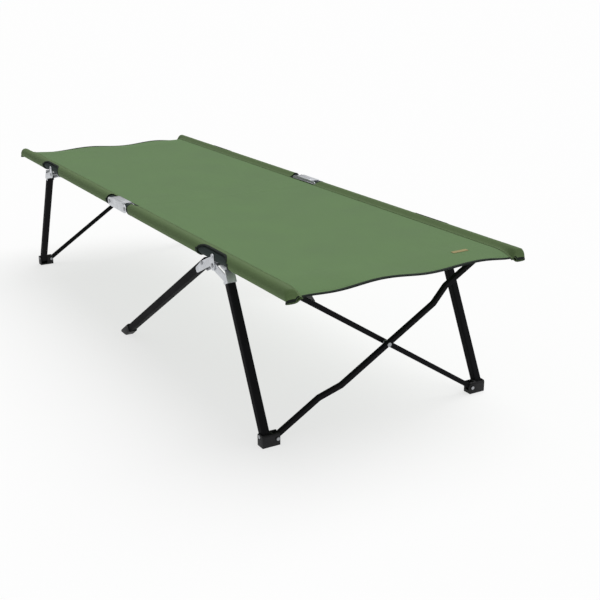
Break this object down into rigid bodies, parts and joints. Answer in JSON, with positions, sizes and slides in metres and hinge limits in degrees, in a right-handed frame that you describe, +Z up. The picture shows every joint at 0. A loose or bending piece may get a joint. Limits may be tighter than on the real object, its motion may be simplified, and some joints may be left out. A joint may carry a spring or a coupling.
{
  "type": "folding cot",
  "caption": "Folding camp cot: fabric bed stretched between hinged side rails on folding corner legs, middle legs and crossed end braces.",
  "frame": {"origin": "on the floor, under the centre of the bed", "axes": "+X towards the foot end, +Y towards the cot's left rail, +Z up"},
  "size_m": [1.9, 0.6394, 0.4005],
  "materials": {
    "frame_tube": "black powder coat, satin",
    "rail_tube": "dark slate powder coat, satin",
    "bracket": "zinc-plated sheet steel, light brushed grey",
    "rivet": "plain steel rivets",
    "plastic": "black moulded nylon",
    "bed_sheet": "olive green coated polyester canvas, plain weave",
    "side_sleeve": "olive green coated polyester canvas, doubled and stitched"
  },
  "bodies": {
    "right_rail_foot_end": {"rail_right_foot_end": "rail_tube", "rail_plug_right_foot_end": "plastic", "sleeve_right_foot_end": "side_sleeve", "leg_saddle_right_foot_end": "bracket", "leg_rivet_right_foot_end": "rivet", "middle_leg_rivet_right": "rivet", "sheet_foot_end": "bed_sheet"},
    "left_rail_foot_end": {"rail_left_foot_end": "rail_tube", "rail_plug_left_foot_end": "plastic", "sleeve_left_foot_end": "side_sleeve", "leg_saddle_left_foot_end": "bracket", "leg_rivet_left_foot_end": "rivet"},
    "right_rail_head_end": {"rail_right_head_end": "rail_tube", "rail_plug_right_head_end": "plastic", "sleeve_right_head_end": "side_sleeve", "leg_saddle_right_head_end": "bracket", "leg_rivet_right_head_end": "rivet", "sheet_head_end": "bed_sheet"},
    "left_rail_head_end": {"rail_left_head_end": "rail_tube", "rail_plug_left_head_end": "plastic", "sleeve_left_head_end": "side_sleeve", "leg_saddle_left_head_end": "bracket", "leg_rivet_left_head_end": "rivet", "middle_leg_rivet_left": "rivet"},
    "right_middle_hinge": {"middle_bracket_right": "bracket", "middle_rivet_outer_right": "rivet", "middle_rivet_inner_right": "rivet"},
    "right_middle_leg": {"middle_leg_right": "frame_tube", "middle_leg_cap_right": "plastic"},
    "left_middle_hinge": {"middle_bracket_left": "bracket", "middle_rivet_outer_left": "rivet", "middle_rivet_inner_left": "rivet"},
    "left_middle_leg": {"middle_leg_left": "frame_tube", "middle_leg_cap_left": "plastic"},
    "right_block_foot_end": {"brace_block_right_foot_end": "plastic"},
    "right_leg_foot_end": {"leg_right_foot_end": "frame_tube", "leg_bracket_right_foot_end": "bracket"},
    "right_shoe_foot_end": {"shoe_right_foot_end": "plastic"},
    "left_block_foot_end": {"brace_block_left_foot_end": "plastic"},
    "left_leg_foot_end": {"leg_left_foot_end": "frame_tube", "leg_bracket_left_foot_end": "bracket"},
    "left_shoe_foot_end": {"shoe_left_foot_end": "plastic"},
    "right_block_head_end": {"brace_block_right_head_end": "plastic"},
    "right_leg_head_end": {"leg_right_head_end": "frame_tube", "leg_bracket_right_head_end": "bracket"},
    "right_shoe_head_end": {"shoe_right_head_end": "plastic"},
    "left_block_head_end": {"brace_block_left_head_end": "plastic"},
    "left_leg_head_end": {"leg_left_head_end": "frame_tube", "leg_bracket_left_head_end": "bracket"},
    "left_shoe_head_end": {"shoe_left_head_end": "plastic"},
    "straight_brace_foot_end": {"brace_straight_foot_end": "frame_tube", "crossing_rivet_foot_end": "rivet", "shoe_rivet_left_foot_end": "rivet"},
    "joggled_brace_foot_end": {"brace_joggled_foot_end": "frame_tube", "shoe_rivet_right_foot_end": "rivet"},
    "straight_brace_head_end": {"brace_straight_head_end": "frame_tube", "crossing_rivet_head_end": "rivet", "shoe_rivet_right_head_end": "rivet"},
    "joggled_brace_head_end": {"brace_joggled_head_end": "frame_tube", "shoe_rivet_left_head_end": "rivet"}
  },
  "joints": [
    {"name": "foot_right_block_tilt", "type": "hinge", "parent": "right_rail_foot_end", "child": "right_block_foot_end", "pos_m": [0.861, -0.304, 0.377], "axis": [0, 1, 0], "range_deg": [0, 78.17]},
    {"name": "scissor_fold", "type": "hinge", "parent": "right_block_foot_end", "child": "straight_brace_foot_end", "pos_m": [0.861, -0.279, 0.377], "axis": [-0.9971, 0, 0.076], "range_deg": [0, 51.4], "deforming": ["sheet_foot_end", "sheet_head_end"]},
    {"name": "foot_scissor_crossing", "type": "hinge", "parent": "straight_brace_foot_end", "child": "joggled_brace_foot_end", "pos_m": [0.8473, 0, 0.19725], "axis": [-0.9971, 0, 0.076], "range_deg": [-103, 0]},
    {"name": "foot_left_brace_top", "type": "hinge", "parent": "joggled_brace_foot_end", "child": "left_block_foot_end", "pos_m": [0.861, 0.279, 0.377], "axis": [-0.9971, 0, 0.076], "range_deg": [0, 51.6]},
    {"name": "foot_left_block_tilt", "type": "hinge", "parent": "left_block_foot_end", "child": "left_rail_foot_end", "pos_m": [0.861, 0.304, 0.377], "axis": [0, 1, 0], "range_deg": [-78.17, 0]},
    {"name": "foot_left_shoe_pin", "type": "hinge", "parent": "straight_brace_foot_end", "child": "left_shoe_foot_end", "pos_m": [0.8336, 0.279, 0.0175], "axis": [-0.9971, 0, 0.076], "range_deg": [-51.6, 0]},
    {"name": "foot_right_shoe_pin", "type": "hinge", "parent": "joggled_brace_foot_end", "child": "right_shoe_foot_end", "pos_m": [0.8336, -0.279, 0.0175], "axis": [-0.9971, 0, 0.076], "range_deg": [0, 51.6]},
    {"name": "foot_right_leg_fold", "type": "hinge", "parent": "right_rail_foot_end", "child": "right_leg_foot_end", "pos_m": [0.6113, -0.304, 0.365], "axis": [0, 1, 0], "range_deg": [0, 112.77]},
    {"name": "foot_left_leg_fold", "type": "hinge", "parent": "left_rail_foot_end", "child": "left_leg_foot_end", "pos_m": [0.6113, 0.304, 0.365], "axis": [0, 1, 0], "range_deg": [0, 112.77]},
    {"name": "right_middle_leg_fold", "type": "hinge", "parent": "right_rail_foot_end", "child": "right_middle_leg", "pos_m": [0.5525, -0.304, 0.357], "axis": [0, 1, 0], "range_deg": [0, 32.38]},
    {"name": "middle_fold", "type": "hinge", "parent": "right_rail_foot_end", "child": "right_middle_hinge", "pos_m": [0.058, -0.304, 0.385], "axis": [0, 1, 0], "range_deg": [0, 90]},
    {"name": "middle_right_head_side", "type": "hinge", "parent": "right_middle_hinge", "child": "right_rail_head_end", "pos_m": [-0.058, -0.304, 0.385], "axis": [0, 1, 0], "range_deg": [0, 90.2]},
    {"name": "middle_left_foot_side", "type": "hinge", "parent": "left_rail_foot_end", "child": "left_middle_hinge", "pos_m": [0.058, 0.304, 0.385], "axis": [0, 1, 0], "range_deg": [0, 90.2]},
    {"name": "middle_left_head_side", "type": "hinge", "parent": "left_middle_hinge", "child": "left_rail_head_end", "pos_m": [-0.058, 0.304, 0.385], "axis": [0, 1, 0], "range_deg": [0, 90.2]},
    {"name": "head_right_block_tilt", "type": "hinge", "parent": "right_rail_head_end", "child": "right_block_head_end", "pos_m": [-0.861, -0.304, 0.377], "axis": [0, -1, 0], "range_deg": [0, 78.17]},
    {"name": "head_right_brace_top", "type": "hinge", "parent": "right_block_head_end", "child": "joggled_brace_head_end", "pos_m": [-0.861, -0.279, 0.377], "axis": [-0.9971, 0, -0.076], "range_deg": [0, 51.6]},
    {"name": "head_scissor_crossing", "type": "hinge", "parent": "joggled_brace_head_end", "child": "straight_brace_head_end", "pos_m": [-0.8473, 0, 0.19725], "axis": [-0.9971, 0, -0.076], "range_deg": [-103, 0]},
    {"name": "head_left_block_tilt", "type": "hinge", "parent": "left_rail_head_end", "child": "left_block_head_end", "pos_m": [-0.861, 0.304, 0.377], "axis": [0, -1, 0], "range_deg": [0, 78.17]},
    {"name": "head_left_shoe_pin", "type": "hinge", "parent": "joggled_brace_head_end", "child": "left_shoe_head_end", "pos_m": [-0.8336, 0.279, 0.0175], "axis": [-0.9971, 0, -0.076], "range_deg": [-51.6, 0]},
    {"name": "head_right_shoe_pin", "type": "hinge", "parent": "straight_brace_head_end", "child": "right_shoe_head_end", "pos_m": [-0.8336, -0.279, 0.0175], "axis": [-0.9971, 0, -0.076], "range_deg": [0, 51.6]},
    {"name": "head_right_leg_fold", "type": "hinge", "parent": "right_rail_head_end", "child": "right_leg_head_end", "pos_m": [-0.6113, -0.304, 0.365], "axis": [0, -1, 0], "range_deg": [0, 112.77]},
    {"name": "head_left_leg_fold", "type": "hinge", "parent": "left_rail_head_end", "child": "left_leg_head_end", "pos_m": [-0.6113, 0.304, 0.365], "axis": [0, -1, 0], "range_deg": [0, 112.77]},
    {"name": "left_middle_leg_fold", "type": "hinge", "parent": "left_rail_head_end", "child": "left_middle_leg", "pos_m": [-0.5525, 0.304, 0.357], "axis": [0, -1, 0], "range_deg": [0, 32.38]}
  ],
  "couplings": [
    {"joint": "foot_right_block_tilt", "follows": "scissor_fold", "ratio": 1.517},
    {"joint": "foot_scissor_crossing", "follows": "scissor_fold", "ratio": -2},
    {"joint": "foot_left_brace_top", "follows": "scissor_fold", "ratio": 1},
    {"joint": "foot_left_block_tilt", "follows": "scissor_fold", "ratio": -1.517},
    {"joint": "foot_left_shoe_pin", "follows": "scissor_fold", "ratio": -1},
    {"joint": "foot_right_shoe_pin", "follows": "scissor_fold", "ratio": 1},
    {"joint": "foot_right_leg_fold", "follows": "scissor_fold", "ratio": 2.19},
    {"joint": "foot_left_leg_fold", "follows": "scissor_fold", "ratio": 2.19},
    {"joint": "right_middle_leg_fold", "follows": "scissor_fold", "ratio": 0.62609},
    {"joint": "middle_right_head_side", "follows": "middle_fold", "ratio": 1},
    {"joint": "middle_left_foot_side", "follows": "middle_fold", "ratio": 1},
    {"joint": "middle_left_head_side", "follows": "middle_fold", "ratio": 1},
    {"joint": "head_right_block_tilt", "follows": "scissor_fold", "ratio": 1.517},
    {"joint": "head_right_brace_top", "follows": "scissor_fold", "ratio": 1},
    {"joint": "head_scissor_crossing", "follows": "scissor_fold", "ratio": -2},
    {"joint": "head_left_block_tilt", "follows": "scissor_fold", "ratio": 1.517},
    {"joint": "head_left_shoe_pin", "follows": "scissor_fold", "ratio": -1},
    {"joint": "head_right_shoe_pin", "follows": "scissor_fold", "ratio": 1},
    {"joint": "head_right_leg_fold", "follows": "scissor_fold", "ratio": 2.19},
    {"joint": "head_left_leg_fold", "follows": "scissor_fold", "ratio": 2.19},
    {"joint": "left_middle_leg_fold", "follows": "scissor_fold", "ratio": 0.62609}
  ]
}
